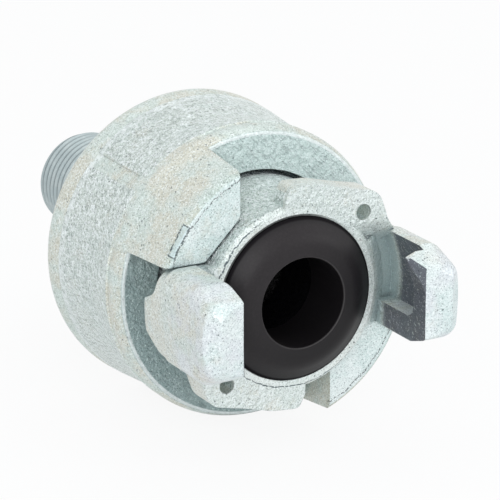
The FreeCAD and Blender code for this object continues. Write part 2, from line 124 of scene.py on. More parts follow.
class NodeTools:
    """A node tree and short ways to add nodes to it."""

    def __init__(self, tree: bpy.types.NodeTree) -> None:
        """Takes the tree to build in."""
        self.tree = tree

    def link(self, source: Socket, target: Socket) -> None:
        """Joins two sockets."""
        self.tree.links.new(source, target)

    def feed(self, target: Socket, value: object) -> None:
        """Sets a socket to a value, or links it to another socket.

        Args:
            target: The input to set.
            value: A number, a colour or an output socket.
        """
        if isinstance(value, Socket):
            self.link(value, target)
        elif isinstance(value, tuple) and target.type == "RGBA":
            target.default_value = (*value, 1.0)
        else:
            target.default_value = value

    def put(self, node: bpy.types.Node, **values: object) -> bpy.types.Node:
        """Sets or links a node's inputs.

        Args:
            node: The node.
            **values: A value or a socket for each input, with underscores for spaces.

        Returns:
            The node.
        """
        for name, value in values.items():
            self.feed(node.inputs[name.replace("_", " ")], value)
        return node

    def add(self, kind: str, **values: object) -> bpy.types.Node:
        """Adds a node, whose kind is named without ShaderNode, and sets or links its inputs."""
        return self.put(self.tree.nodes.new("ShaderNode" + kind), **values)

    def math(self, operation: Sum, first: object, second: object = 0.0) -> Socket:
        """Adds a sum on one or two values.

        Args:
            operation: What it does with them.
            first: A number or a socket.
            second: A number or a socket.

        Returns:
            The socket of the result.
        """
        node = self.add("Math")
        node.operation = operation.value
        self.feed(node.inputs[0], first)
        self.feed(node.inputs[1], second)
        return node.outputs[0]

    def plus(self, first: object, second: object) -> Socket:
        """Adds two values."""
        return self.math(Sum.ADD, first, second)

    def less(self, first: object, second: object) -> Socket:
        """Takes the second value from the first."""
        return self.math(Sum.SUBTRACT, first, second)

    def times(self, first: object, *others: object) -> object:
        """Multiplies one or more values.

        Args:
            first: A number or a socket.
            *others: More of them.

        Returns:
            The socket of the product, or the first value where it is the only one.
        """
        for other in others:
            first = self.math(Sum.MULTIPLY, first, other)
        return first


class NodeBench(NodeTools):
    """A material's node tree, its base colour so far, and short ways to add to them."""

    def __init__(self, name: str) -> None:
        """Makes an empty material with a Principled shader.

        Args:
            name: The material's name.
        """
        self.material = bpy.data.materials.new(name)
        self.material.use_nodes = True
        super().__init__(self.material.node_tree)
        self.shader = self.tree.nodes["Principled BSDF"]
        self.place = self.add("TexCoord").outputs["Object"]
        self.base: Colour | Socket = BLACK

    @cached_property
    def parts(self) -> bpy.types.Node:
        """Splits each point's place into X, Y and Z."""
        return self.add("SeparateXYZ", Vector=self.place)

    @cached_property
    def along(self) -> Socket:
        """Gives each point's place along the coupling's axis, in metres."""
        return self.parts.outputs["Y"]

    @cached_property
    def radius(self) -> Socket:
        """Gives each point's distance from the coupling's axis, in metres."""
        across, up = self.parts.outputs["X"], self.parts.outputs["Z"]
        return self.math(Sum.ROOT, self.plus(self.times(across, across), self.times(up, up)))

    def band(self, value: object, ramp: Ramp) -> Socket:
        """Sends a value through a smooth step.

        Args:
            value: The socket to map.
            ramp: The step.

        Returns:
            The socket of the mapped value.
        """
        node = self.add("MapRange", Value=value, From_Min=ramp.low, From_Max=ramp.high,
                        To_Min=ramp.start, To_Max=ramp.end)
        node.interpolation_type = "SMOOTHSTEP"
        return node.outputs["Result"]

    def window(self, value: object, span: Span) -> Socket:
        """Gives 1 where a value lies in a stretch, and falls to 0 just outside it."""
        return self.times(self.band(value, Ramp(span.low - span.soft, span.low)),
                          self.band(value, Ramp(span.high, span.high + span.soft, 1.0, 0.0)))

    def mix(self, under: object, over: object, *shares: object) -> Socket:
        """Mixes two colours.

        Args:
            under: The first colour, or its socket.
            over: The second colour, or its socket.
            *shares: Masks and numbers whose product says how much of the second one shows.

        Returns:
            The socket of the mixed colour.
        """
        node = self.add("Mix", Factor=self.times(*shares))
        node.data_type = "RGBA"
        self.feed(node.inputs[MIX_UNDER], under)
        self.feed(node.inputs[MIX_OVER], over)
        return node.outputs[MIX_RESULT]

    def paint(self, colour: object, *shares: object) -> None:
        """Lays a colour over the base, as much of it as the product of the shares says."""
        self.base = self.mix(self.base, colour, *shares)

    def noise(self, pattern: Pattern, nudge: Triple = (0.0, 0.0, 0.0)) -> Socket:
        """Adds a noise pattern on object coordinates.

        Args:
            pattern: Its size and kind.
            nudge: A small step on top of its shift, in metres.

        Returns:
            The socket of its value.
        """
        mapping = self.add("Mapping", Vector=self.place, Scale=pattern.stretch,
                           Location=tuple(pattern.shift + step for step in nudge))
        return self.noise_at(mapping.outputs["Vector"], pattern)

    def noise_at(self, place: Socket, pattern: Pattern) -> Socket:
        """Adds a noise pattern on any coordinates."""
        value = self.add("TexNoise", Vector=place, Scale=pattern.per_metre, Detail=pattern.detail,
                         Roughness=pattern.rough).outputs["Fac"]
        return self.band(value, pattern.ramp) if pattern.ramp else value

    def lit_grain(self, pattern: Pattern) -> Socket:
        """Gives a grain's slope towards the upper left, from how much it falls over a short step."""
        step = (-0.10 * MM, -0.10 * MM, 0.14 * MM)
        return self.less(self.noise(pattern), self.noise(pattern, step))

    def streaks(self, pattern: Pattern) -> Socket:
        """Adds fine streaks that slant down to the right across the coupling's front.

        Args:
            pattern: Their size and kind.

        Returns:
            The socket of their value.
        """
        drawn_out = 0.16
        place = self.add("CombineXYZ", X=self.towards(TO_UPPER_PIN), Y=pattern.shift,
                         Z=self.times(self.towards(BESIDE_UPPER_PIN), drawn_out))
        return self.noise_at(place.outputs["Vector"], pattern)

    def spots(self, per_metre: float) -> Socket:
        """Scatters cells and gives the distance to the nearest one's middle, in cell widths."""
        return self.add("TexVoronoi", Vector=self.place, Scale=per_metre).outputs["Distance"]

    def dot(self, vector: Socket, direction: object) -> Socket:
        """Gives how far a vector goes in a direction.

        Args:
            vector: The vector's socket.
            direction: The direction, one unit long, or its socket.

        Returns:
            The socket of the length.
        """
        node = self.add("VectorMath")
        node.operation = "DOT_PRODUCT"
        self.link(vector, node.inputs[0])
        self.feed(node.inputs[1], direction)
        return node.outputs["Value"]

    def normal(self) -> Socket:
        """Gives the direction that the surface faces."""
        return self.add("NewGeometry").outputs["Normal"]

    def towards(self, direction: Triple) -> Socket:
        """Gives each point's place along a direction through the origin, in metres."""
        return self.dot(self.place, direction)

    def facing(self) -> Socket:
        """Gives how much the surface faces the claws' side, from -1 to 1."""
        return self.dot(self.normal(), TO_FRONT)

    def outwards(self) -> Socket:
        """Gives how much the surface faces away from the axis.

        Returns:
            The socket of the share, down to -1 where it faces the axis.
        """
        flat = self.add("VectorMath")
        flat.operation = "MULTIPLY"
        flat.inputs[1].default_value = (1.0, 0.0, 1.0)
        self.link(self.place, flat.inputs[0])
        return self.math(Sum.DIVIDE, self.dot(flat.outputs["Vector"], self.normal()), self.radius)

    def cavity(self, reach: float) -> Socket:
        """Gives how open the surface is, from 0 in a deep recess to 1 in the open.

        Args:
            reach: How far away a neighbour still counts, in metres.

        Returns:
            The socket of the openness.
        """
        node = self.add("AmbientOcclusion", Distance=reach)
        node.samples = CAVITY_SAMPLES
        return node.outputs["AO"]

    def relief(self, height: Socket, depth: float, edge: float = 0.0) -> None:
        """Gives the shader a bumped normal, with softened corners if edge is set.

        Args:
            height: The socket of the height, from 0 to 1.
            depth: How deep a height of 1 is, in metres.
            edge: The radius that sharp corners seem to have, in metres.
        """
        bump = self.add("Bump", Strength=1.0, Distance=depth, Height=height)
        if edge > 0:
            soft = self.add("Bevel", Radius=edge)
            soft.samples = CORNER_SAMPLES
            self.link(soft.outputs["Normal"], bump.inputs["Normal"])
        self.link(bump.outputs["Normal"], self.shader.inputs["Normal"])

    def surface(self, metallic: float, roughness: object) -> bpy.types.Material:
        """Gives the shader its base, share of metal and roughness, and gives the material."""
        self.put(self.shader, Base_Color=self.base, Metallic=metallic, Roughness=roughness)
        return self.material


@dataclass(frozen=True)
class PlatedCasting:
    """Zinc plating on rough malleable iron: pale, satin and finely speckled."""

    warm: Colour = (0.625, 0.625, 0.535)
    front_lit_tint: Colour = (0.745, 0.82, 0.81)
    cloud: Colour = (0.56, 0.70, 0.68)
    coarse: Colour = (0.655, 0.745, 0.70)
    rust: Colour = (0.62, 0.555, 0.45)
    pale: Colour = (0.66, 0.83, 0.81)
    shade: Colour = (0.10, 0.13, 0.14)
    glint: Colour = (0.94, 1.0, 1.0)
    recess_shade: Colour = (0.075, 0.115, 0.135)
    metallic: float = 0.45

    # How the colours lie: a painted lighter, cooler tint on front faces that stands in for the front light,
    # then clouds, stains, grains with a painted lit side and a painted shaded side, dark specks and painted
    # glint specks
    front_lit_facing: Ramp = Ramp(0.1, 0.6)
    coarse_share: float = 0.85
    clouds: Pattern = Pattern(110.0, 5.0, 0.65, ramp=Ramp(0.42, 0.60, 0.0, 0.6))
    stains: Pattern = Pattern(170.0, 5.0, 0.7, 5.1, Ramp(0.54, 0.72, 0.0, 0.32))
    grains: Pattern = Pattern(1100.0, 3.0, 0.7, 0.31)
    lee_side: Ramp = Ramp(-0.12, -0.06, 1.0, 0.0)
    lee_share: Ramp = Ramp(0.0, 1.0, 0.16, 0.50)
    lit_side: Ramp = Ramp(0.01, 0.05)
    lit_share: Ramp = Ramp(0.0, 1.0, 0.25, 1.0)
    specks: Pattern = Pattern(3500.0, 1.0, ramp=Ramp(0.60, 0.66, 0.0, 0.52))
    glint_specks: Pattern = Pattern(3100.0, 1.0, shift=4.7, ramp=Ramp(0.56, 0.62, 0.0, 0.55))

    # Painted shade in recesses, from ambient occlusion, less the pin holes, through which light falls
    recess_reach: float = 5.0 * MM
    recess: Ramp = Ramp(0.15, 0.62, 0.90, 0.0)
    pin_circle: float = 21.213 * MM
    pin_hole: Ramp = Ramp(1.62 * MM, 1.75 * MM, 1.0, 0.0)

    # Relief and gloss
    pits_per_metre: float = 900.0
    pit_size: Ramp = Ramp(0.10, 0.18, 1.0, 0.0)
    pit_places: Pattern = Pattern(260.0, 1.0, shift=1.7, ramp=Ramp(0.54, 0.60))
    pit_share: float = 0.8
    waves: Pattern = Pattern(210.0, 3.0, 0.55, 0.11)
    waves_height: float = 0.7
    fine_grain: Pattern = Pattern(1800.0, 3.0, 0.75, 0.53)
    fine_height: float = 0.75
    coarse_grain: Pattern = Pattern(800.0, 4.0, 0.75, 0.23, Ramp(0.36, 0.66, 0.0, 1.3))
    grain_depth: float = 0.24 * MM
    edge: float = 0.25 * MM
    satin: Pattern = Pattern(420.0, 3.0, 0.6, 0.7, Ramp(0.35, 0.65, 0.31, 0.48))

    def dress(self, name: str) -> bpy.types.Material:
        """Builds the material.

        Args:
            name: The material's name.

        Returns:
            The finished material.
        """
        bench = NodeBench(name)
        rough = self.rough_places(bench)
        pits = self.pits(bench)
        self.plating(bench, rough, pits)
        self.marks(bench)
        bench.relief(self.height(bench, pits, rough), self.grain_depth, self.edge)
        return bench.surface(self.metallic, self.gloss(bench))

    def rough_places(self, bench: NodeBench) -> Socket:
        """Marks where the cast grain is coarse; each casting says where."""
        raise NotImplementedError

    def tints(self, bench: NodeBench, rough: Socket) -> None:
        """Adds a casting's own tints under the grain; none unless it has some."""

    def marks(self, bench: NodeBench) -> None:
        """Adds a casting's own marks on top; none unless it has some."""

    def gloss(self, bench: NodeBench) -> Socket:
        """Gives the roughness: satin in soft clouds."""
        return bench.noise(self.satin)

    def pits(self, bench: NodeBench) -> Socket:
        """Scatters small pits: the middles of cells, kept only where a slow noise is high.

        Args:
            bench: The tree to build in.

        Returns:
            The socket of the pits' depth, from 0 to 1.
        """
        dots = bench.band(bench.spots(self.pits_per_metre), self.pit_size)
        return bench.times(dots, bench.noise(self.pit_places))

    def plating(self, bench: NodeBench, rough: Socket, pits: Socket) -> None:
        """Lays on the plating's colours.

        It has a painted lighter, cooler tint on front faces that stands in for the front light, is clouded
        and stained, takes the casting's own tints, has painted shade in recesses, and has grains with a
        painted highlight on their lit side and painted shade on their dark side, which are strong in coarse
        places, and painted glint specks.

        Args:
            bench: The tree to build in.
            rough: The socket of the mask of coarse places.
            pits: The socket of the pits' depth.
        """
        bench.base = self.warm
        # Painted light: a lighter, cooler tint where the surface faces the front
        bench.paint(self.front_lit_tint, bench.band(bench.facing(), self.front_lit_facing))
        bench.paint(self.cloud, bench.noise(self.clouds))
        self.tints(bench, rough)
        bench.paint(self.coarse, rough, self.coarse_share)
        bench.paint(self.rust, bench.noise(self.stains))
        # Painted shade: darker where ambient occlusion finds a recess, but not in the pin holes
        bench.paint(self.recess_shade, bench.band(bench.cavity(self.recess_reach), self.recess),
                    bench.less(1.0, self.pin_holes(bench)))
        # Painted light on the grain: painted shade on the side that falls away from the upper left, painted
        # highlights on the side towards it
        slope = bench.lit_grain(self.grains)
        bench.paint(self.shade, bench.band(slope, self.lee_side), bench.band(rough, self.lee_share))
        bench.paint(self.glint, bench.band(slope, self.lit_side), bench.band(rough, self.lit_share))
        bench.paint(self.shade, bench.noise(self.specks))
        # Painted glints: small bright specks
        bench.paint(self.glint, bench.noise(self.glint_specks))
        bench.paint(self.shade, pits, self.pit_share)

    def pin_holes(self, bench: NodeBench) -> Socket:
        """Marks the walls of the two pin holes, which lie opposite each other on one line.

        Args:
            bench: The tree to build in.

        Returns:
            The socket of the mask.
        """
        out = bench.less(bench.math(Sum.ABSOLUTE, bench.towards(TO_UPPER_PIN)), self.pin_circle)
        aside = bench.towards(BESIDE_UPPER_PIN)
        square = bench.plus(bench.times(out, out), bench.times(aside, aside))
        return bench.band(bench.math(Sum.ROOT, square), self.pin_hole)

    def height(self, bench: NodeBench, pits: Socket, rough: Socket) -> Socket:
        """Adds up the cast grain: slow waves, fine grain, coarse grain in rough places, less pits.

        Args:
            bench: The tree to build in.
            pits: The socket of the pits' depth.
            rough: The socket of the mask of coarse places.

        Returns:
            The socket of the height, about 0 to 1.
        """
        height = bench.plus(bench.times(bench.noise(self.waves), self.waves_height),
                            bench.times(bench.noise(self.fine_grain), self.fine_height))
        height = bench.plus(height, bench.times(bench.noise(self.coarse_grain), rough))
        return bench.less(height, pits)


@dataclass(frozen=True)
class HeadPlating(PlatedCasting):
    """The head's plating: lavender claws, off-white lugs, a coarse hub, and painted shade in its bore and
    pockets.
    """

    lavender: Colour = (0.70, 0.73, 0.765)
    cream: Colour = (0.74, 0.745, 0.68)
    yellow: Colour = (0.66, 0.58, 0.38)
    inner_wall_shade: Colour = (0.055, 0.06, 0.09)
    pocket_shade: Colour = (0.47, 0.57, 0.575)
    deep_shade: Colour = (0.004, 0.004, 0.005)

    # Coarse places: the hub behind the face, less its outside, and the face outside its ring
    hub_length: Span = Span(FACE_Y + 1.2 * MM, FACE_Y + 20 * MM, 0.8 * MM)
    hub_share: Ramp = Ramp(20.8 * MM, 21.4 * MM, 0.9, 0.15)
    face_depth: Span = Span(FACE_Y - 0.8 * MM, FACE_Y + 1.0 * MM, 0.4 * MM)
    face_share: Ramp = Ramp(17.6 * MM, 18.4 * MM, 0.12, 0.44)

    # Tints
    claws: Ramp = Ramp(FACE_Y - 1.5 * MM, FACE_Y, 0.75, 0.12)
    claw_clouds: Pattern = Pattern(140.0, 4.0, 0.6, 6.6, Ramp(0.42, 0.60, 0.1, 1.0))
    lugs: Span = Span(FACE_Y - 0.8 * MM, FACE_Y + 6 * MM, 0.5 * MM)
    lugs_share: float = 0.35
    hub_pale: Ramp = Ramp(0.45, 0.9, 0.0, 0.75)
    hub_stains: Pattern = Pattern(520.0, 4.0, 0.7, 5.5, Ramp(0.54, 0.66, 0.0, 0.6))

    # Painted shade: a fine dark line round the face, which a noise bends and breaks and which fades out
    # towards the upper right
    face: Ramp = Ramp(FACE_Y + 0.5 * MM, FACE_Y + 1.0 * MM, 1.0, 0.0)
    line: Span = Span(17.74 * MM, 17.84 * MM, 0.12 * MM)
    line_bends: Pattern = Pattern(300.0, 3.0, 0.7, 6.1, Ramp(0.35, 0.65, -0.15 * MM, 0.15 * MM))
    line_breaks: Pattern = Pattern(1900.0, 1.0, shift=4.2, ramp=Ramp(0.34, 0.44))
    line_far_side: Triple = (0.809, 0.0, 0.588)
    line_fades: Ramp = Ramp(0.0, 6 * MM, 1.0, 0.0)

    # Painted shade and a painted reflection of the dark seal on the walls under the hooks, painted shade in
    # the pockets beside the face, and the painted glitter that both keep
    before_face: Ramp = Ramp(FACE_Y - 1 * MM, FACE_Y + 1 * MM, 1.0, 0.0)
    inward: Ramp = Ramp(-0.75, -0.35, 1.0, 0.0)
    inward_share: float = 0.85
    pocket_width: Span = Span(18.6 * MM, 24.2 * MM, 1.6 * MM)
    pocket_height: Ramp = Ramp(8.0 * MM, 11.0 * MM, 1.0, 0.0)
    pocket_depth: Span = Span(FACE_Y + 1.6 * MM, FACE_Y + 12 * MM, 1.4 * MM)
    pocket_share: float = 0.75
    glitter: Pattern = Pattern(1300.0, 2.0, 0.7, 8.2)
    glitter_keeps: Ramp = Ramp(0.08, 0.13, 1.0, 0.4)

    # Painted shadow in the gap round the seal's upper left, and painted shade in the bore
    seal_gap: Span = Span(16.4 * MM, 16.75 * MM, 0.15 * MM)
    seal_gap_side: Ramp = Ramp(0.0, 14 * MM)
    seal_gap_share: float = 0.9
    bore_radius: Ramp = Ramp(9.6 * MM, 10.2 * MM, 1.0, 0.0)
    bore_length: Ramp = Ramp(FACE_Y + 85 * MM, FACE_Y + 90 * MM, 1.0, 0.0)
    bore_specular: Ramp = Ramp(0.0, 1.0, 0.5, 0.05)

    def rough_places(self, bench: NodeBench) -> Socket:
        """Marks the hub, and less strongly the face with its lugs.

        Args:
            bench: The tree to build in.

        Returns:
            The socket of the mask.
        """
        hub = bench.times(bench.window(bench.along, self.hub_length),
                          bench.band(bench.radius, self.hub_share))
        face = bench.times(bench.window(bench.along, self.face_depth),
                           bench.band(bench.radius, self.face_share))
        return bench.math(Sum.MAXIMUM, hub, face)

    def tints(self, bench: NodeBench, rough: Socket) -> None:
        """Adds lavender clouds on the claws, off-white lugs, and a pale hub with yellow stains.

        Args:
            bench: The tree to build in.
            rough: The socket of the mask of coarse places.
        """
        bench.paint(self.lavender, bench.noise(self.claw_clouds), bench.band(bench.along, self.claws))
        bench.paint(self.cream, bench.window(bench.along, self.lugs), self.lugs_share)
        bench.paint(self.pale, bench.band(rough, self.hub_pale))
        bench.paint(self.yellow, bench.noise(self.hub_stains), rough)

    def marks(self, bench: NodeBench) -> None:
        """Adds the painted shade line round the face, painted shade in the pockets, a painted shadow in the
        gap round the seal and painted shade in the bore.

        Args:
            bench: The tree to build in.
        """
        face = bench.band(bench.along, self.face)
        bent = bench.plus(bench.radius, bench.noise(self.line_bends))
        # Painted shade: the dark line round the face, fading out towards the upper right
        bench.paint(self.shade, face, bench.window(bent, self.line), bench.noise(self.line_breaks),
                    bench.band(bench.towards(self.line_far_side), self.line_fades))
        self.pockets(bench)
        # Painted shadow: black in the gap round the seal, only on its upper left
        bench.paint(self.deep_shade, bench.window(bench.radius, self.seal_gap), face, self.seal_gap_share,
                    bench.band(bench.towards(TO_UPPER_LEFT), self.seal_gap_side))
        # Painted shade in the bore: black, with its specular turned down
        bore = bench.times(bench.band(bench.radius, self.bore_radius),
                           bench.band(bench.along, self.bore_length))
        bench.link(bench.band(bore, self.bore_specular), bench.shader.inputs["Specular IOR Level"])
        bench.paint(self.deep_shade, bore)

    def pockets(self, bench: NodeBench) -> None:
        """Paints shade and the dark seal's reflection on the claws' inner walls, and shade in the pockets
        beside the face, less some painted glitter.

        Args:
            bench: The tree to build in.
        """
        glitter = bench.band(bench.lit_grain(self.glitter), self.glitter_keeps)
        # Painted shade and a painted reflection of the dark seal on the claws' inner walls, less some
        # painted glitter
        bench.paint(self.inner_wall_shade, bench.band(bench.along, self.before_face),
                    bench.band(bench.outwards(), self.inward), self.inward_share, glitter)
        beside = bench.window(bench.math(Sum.ABSOLUTE, bench.towards(TO_RIGHT)), self.pocket_width)
        level = bench.band(bench.math(Sum.ABSOLUTE, bench.towards(TO_TOP)), self.pocket_height)
        # Painted shade in the pockets beside the face, less some painted glitter
        bench.paint(self.pocket_shade, beside, level, bench.window(bench.along, self.pocket_depth),
                    self.pocket_share, glitter)


@dataclass(frozen=True)
class SleevePlating(PlatedCasting):
    """The sleeve's plating: two coarse panels with a painted highlight on their crest, a streaked front
    ring with painted shade and a painted highlight, and worn finger edges.
    """

    # The sleeve's painted front light tint lies only on faces that look straight at the front
    front_lit_facing: Ramp = Ramp(0.86, 0.97)
    dull_and_shade: Colour = (0.15, 0.235, 0.245)
    worn: Colour = (0.05, 0.055, 0.06)
    dimple_floor: Colour = (0.56, 0.70, 0.74)

    # The panels round the drum, less the bare strip between them
    panel_length: Span = Span(FACE_Y + 21.8 * MM, FACE_Y + 40.6 * MM, 0.5 * MM)
    panel_radius: Ramp = Ramp(28.5 * MM, 28.8 * MM)
    strip_across: Triple = (0.682, 0.0, 0.731)
    strip_width: Span = Span(-1.5 * MM, 1.5 * MM, 0.4 * MM)
    strip_middle: Triple = (-0.731, 0.0, 0.682)
    strip_side: Ramp = Ramp(10 * MM, 12 * MM)
    # Painted highlight along the raised crest behind the panels
    crest: Span = Span(FACE_Y + 39.2 * MM, FACE_Y + 40.6 * MM, 0.4 * MM)
    crest_grain: Pattern = Pattern(700.0, 3.0, 0.7, 9.1, Ramp(0.42, 0.56, 0.0, 0.6))

    # The flat front of the ring, pale at the top right, with painted shade at the lower left and a painted
    # highlight on its rim
    ring_depth: Span = Span(FACE_Y + 15.5 * MM, FACE_Y + 16.6 * MM, 0.2 * MM)
    ring_facing: Ramp = Ramp(0.55, 0.8)
    ring_coarse: float = 0.65
    ring_pale: float = 0.45
    ring_upwards: Triple = (0.70, 0.0, 0.714)
    ring_shade_side: Ramp = Ramp(-24 * MM, 14 * MM, 0.66, 0.04)
    ring_grain: Pattern = Pattern(1000.0, 3.0, 0.7, 2.3)
    ring_sparks: Ramp = Ramp(0.06, 0.12, 1.0, 0.25)
    ring_streaks: Pattern = Pattern(2300.0, shift=0.4, ramp=Ramp(0.52, 0.62, 0.0, 0.28))
    # Painted highlight along the ring's outer edge
    rim: Span = Span(28.3 * MM, 28.7 * MM, 0.2 * MM)
    rim_share: float = 0.8

    # The fingers' rounded front edge, with a dashed line along it
    finger_tip: Ramp = Ramp(FACE_Y + 4.2 * MM, FACE_Y + 4.8 * MM, 1.0, 0.0)
    edge_rough: Ramp = Ramp(FACE_Y + 4.2 * MM, FACE_Y + 5.6 * MM, 0.45, 0.0)
    edge_facing: Ramp = Ramp(0.9, 0.99, 1.0, 0.0)
    edge_line: Span = Span(26.15 * MM, 26.25 * MM, 0.12 * MM)
    edge_bends: Pattern = Pattern(500.0, 3.0, 0.7, 3.7, Ramp(0.35, 0.65, -0.2 * MM, 0.2 * MM))
    edge_dashes: Pattern = Pattern(2400.0, 1.0, shift=3.1, ramp=Ramp(0.42, 0.50))
    edge_share: float = 0.85
    edge_radius: float = 26.2 * MM
    edge_front: float = FACE_Y + 3.6 * MM

    # The oblong dimple on the upper finger's edge: along the finger, and over its edge
    dimple_across: Triple = (0.544, 0.0, 0.839)
    dimple_middle: Triple = (-0.839, 0.0, 0.544)
    dimple_side: Ramp = Ramp(15 * MM, 16 * MM)
    dimple_length: Span = Span(-4.1 * MM, 2.5 * MM, 0.15 * MM)
    dimple_width: Span = Span(0.15 * MM, 2.25 * MM, 0.15 * MM)
    floor_length: Span = Span(-3.8 * MM, 2.2 * MM, 0.15 * MM)
    floor_width: Span = Span(0.55 * MM, 1.85 * MM, 0.15 * MM)
    dimple_dots: Pattern = Pattern(2700.0, 1.0, shift=7.3, ramp=Ramp(0.38, 0.45, 0.1, 0.9))
    dimple_floor_share: float = 0.45

    def ring_face(self, bench: NodeBench) -> Socket:
        """Marks the flat front of the sleeve's ring, between and behind its fingers."""
        return bench.times(bench.window(bench.along, self.ring_depth),
                           bench.band(bench.facing(), self.ring_facing))

    def rough_places(self, bench: NodeBench) -> Socket:
        """Marks the raised panels, less the strip between them, and less strongly the ring's front.

        Args:
            bench: The tree to build in.

        Returns:
            The socket of the mask.
        """
        strip = bench.times(bench.window(bench.towards(self.strip_across), self.strip_width),
                            bench.band(bench.towards(self.strip_middle), self.strip_side))
        panel = bench.times(bench.window(bench.along, self.panel_length),
                            bench.band(bench.radius, self.panel_radius), bench.less(1.0, strip))
        return bench.math(Sum.MAXIMUM, panel, bench.times(self.ring_face(bench), self.ring_coarse))

    def marks(self, bench: NodeBench) -> None:
        """Adds a painted highlight on the crest behind the panels, the ring's front and the fingers' edges.

        Args:
            bench: The tree to build in.
        """
        # Painted highlight along the crest behind the panels
        bench.paint(self.glint, bench.window(bench.along, self.crest), bench.noise(self.crest_grain))
        self.ring_front(bench)
        self.finger_edges(bench)

    def ring_front(self, bench: NodeBench) -> None:
        """Adds the ring's pale front, painted shade on its lower left broken by painted sparks, its
        streaks, and a painted highlight on its rim.

        Args:
            bench: The tree to build in.
        """
        ring = self.ring_face(bench)
        bench.paint(self.pale, ring, self.ring_pale)
        # Painted shade on the ring's lower left, less where the grain's lit side keeps painted sparks
        bench.paint(self.dull_and_shade, ring, bench.band(bench.towards(self.ring_upwards), self.ring_shade_side),
                    bench.band(bench.lit_grain(self.ring_grain), self.ring_sparks))
        bench.paint(self.shade, ring, bench.streaks(self.ring_streaks))
        # Painted highlight on the ring's rim
        bench.paint(self.glint, ring, bench.window(bench.radius, self.rim), self.rim_share)

    def finger_edges(self, bench: NodeBench) -> None:
        """Adds the dashed line along the fingers' front edges, and the upper one's dimple.

        Args:
            bench: The tree to build in.
        """
        bent = bench.plus(bench.radius, bench.noise(self.edge_bends))
        bench.paint(self.worn, bench.band(bench.along, self.finger_tip),
                    bench.window(bent, self.edge_line), bench.noise(self.edge_dashes), self.edge_share)
        over = bench.plus(bench.less(bent, self.edge_radius), bench.less(bench.along, self.edge_front))
        self.dimple(bench, over)

    def dimple(self, bench: NodeBench, over: Socket) -> None:
        """Draws the small oblong dimple on the upper finger's edge: a dotted outline, pale inside.

        Args:
            bench: The tree to build in.
            over: The socket of the way over the finger's rounded edge, from its front face.
        """
        across = bench.towards(self.dimple_across)
        side = bench.band(bench.towards(self.dimple_middle), self.dimple_side)
        whole = bench.times(bench.window(across, self.dimple_length), bench.window(over, self.dimple_width))
        inner = bench.times(bench.window(across, self.floor_length), bench.window(over, self.floor_width))
        bench.paint(self.shade, whole, side, bench.less(1.0, inner), bench.noise(self.dimple_dots))
        bench.paint(self.dimple_floor, inner, side, self.dimple_floor_share)

    def gloss(self, bench: NodeBench) -> Socket:
        """Gives the roughness: satin in soft clouds, and duller on the fingers' front edges."""
        edge = bench.times(bench.band(bench.along, self.edge_rough),
                           bench.band(bench.facing(), self.edge_facing))
        return bench.plus(bench.noise(self.satin), edge)


@dataclass(frozen=True)
class PlatedThread:
    """Zinc plating on cut threads: smoother and bluer than the castings, with painted shade in the roots.
    """

    crest: Colour = (0.42, 0.49, 0.50)
    bright: Colour = (0.62, 0.67, 0.66)
    root_shade: Colour = (0.085, 0.11, 0.12)
    crest_height: Ramp = Ramp(0.05, 0.75)
    wear: Pattern = Pattern(520.0, 3.0, 0.6, ramp=Ramp(0.4, 0.7, 0.0, 0.35), stretch=(1.0, 0.3, 1.0))
    grain: Pattern = Pattern(1400.0, 3.0, 0.6)
    grain_depth: float = 0.05 * MM
    metallic: float = 0.55
    roughness: float = 0.36

    def dress(self, name: str, attribute: str) -> bpy.types.Material:
        """Builds the material.

        Args:
            name: The material's name.
            attribute: The mesh attribute that holds the height above the roots, from 0 to 1.

        Returns:
            The finished material.
        """
        bench = NodeBench(name)
        height = bench.add("Attribute")
        height.attribute_name = attribute
        crest = bench.mix(self.crest, self.bright, bench.noise(self.wear))
        # Painted shade in the thread's roots, under the crests' colour
        bench.base = bench.mix(self.root_shade, crest, bench.band(height.outputs["Fac"], self.crest_height))
        bench.relief(bench.noise(self.grain), self.grain_depth)
        return bench.surface(self.metallic, self.roughness)


@dataclass(frozen=True)
class MouldedRubber:
    """Black moulded rubber: near black with a faint painted sheen and very fine grain."""

    deep: Colour = (0.0045, 0.004, 0.005)
    upper_left_sheen: Colour = (0.022, 0.0185, 0.0205)
    lip_highlight: Colour = (0.075, 0.07, 0.07)
    upper_left: Ramp = Ramp(-14 * MM, 14 * MM, 0.15, 1.0)
    sheen_mottle: Pattern = Pattern(1700.0, 3.0, 0.7, ramp=Ramp(0.40, 0.70, 0.75, 1.0))
    rim: Ramp = Ramp(14.6 * MM, 16.2 * MM, 1.0, 0.25)
    lip_line: Span = Span(9.02 * MM, 9.16 * MM, 0.06 * MM)
    lip_share: float = 0.5
    grain: Pattern = Pattern(2600.0, 2.0, 0.6)
    grain_depth: float = 0.02 * MM
    metallic: float = 0.0
    roughness: float = 0.46
    specular: Ramp = Ramp(15.6 * MM, 16.0 * MM, 0.27, 0.03)

    def dress(self, name: str) -> bpy.types.Material:
        """Builds the material: a painted sheen lies on the upper left and thins out at the rim.

        Args:
            name: The material's name.

        Returns:
            The finished material.
        """
        bench = NodeBench(name)
        bench.base = self.deep
        # Painted sheen on the seal's upper left, mottled, thinning out at the rim
        bench.paint(self.upper_left_sheen, bench.band(bench.towards(TO_UPPER_LEFT), self.upper_left),
                    bench.noise(self.sheen_mottle), bench.band(bench.radius, self.rim))
        # Painted highlight along the lip of the bore
        bench.paint(self.lip_highlight, bench.window(bench.radius, self.lip_line), self.lip_share)
        bench.relief(bench.noise(self.grain), self.grain_depth)
        shine = bench.shader.inputs["Specular IOR Level"]
        shine.default_value = self.specular.start
        bench.link(bench.band(bench.radius, self.specular), shine)
        return bench.surface(self.metallic, self.roughness)


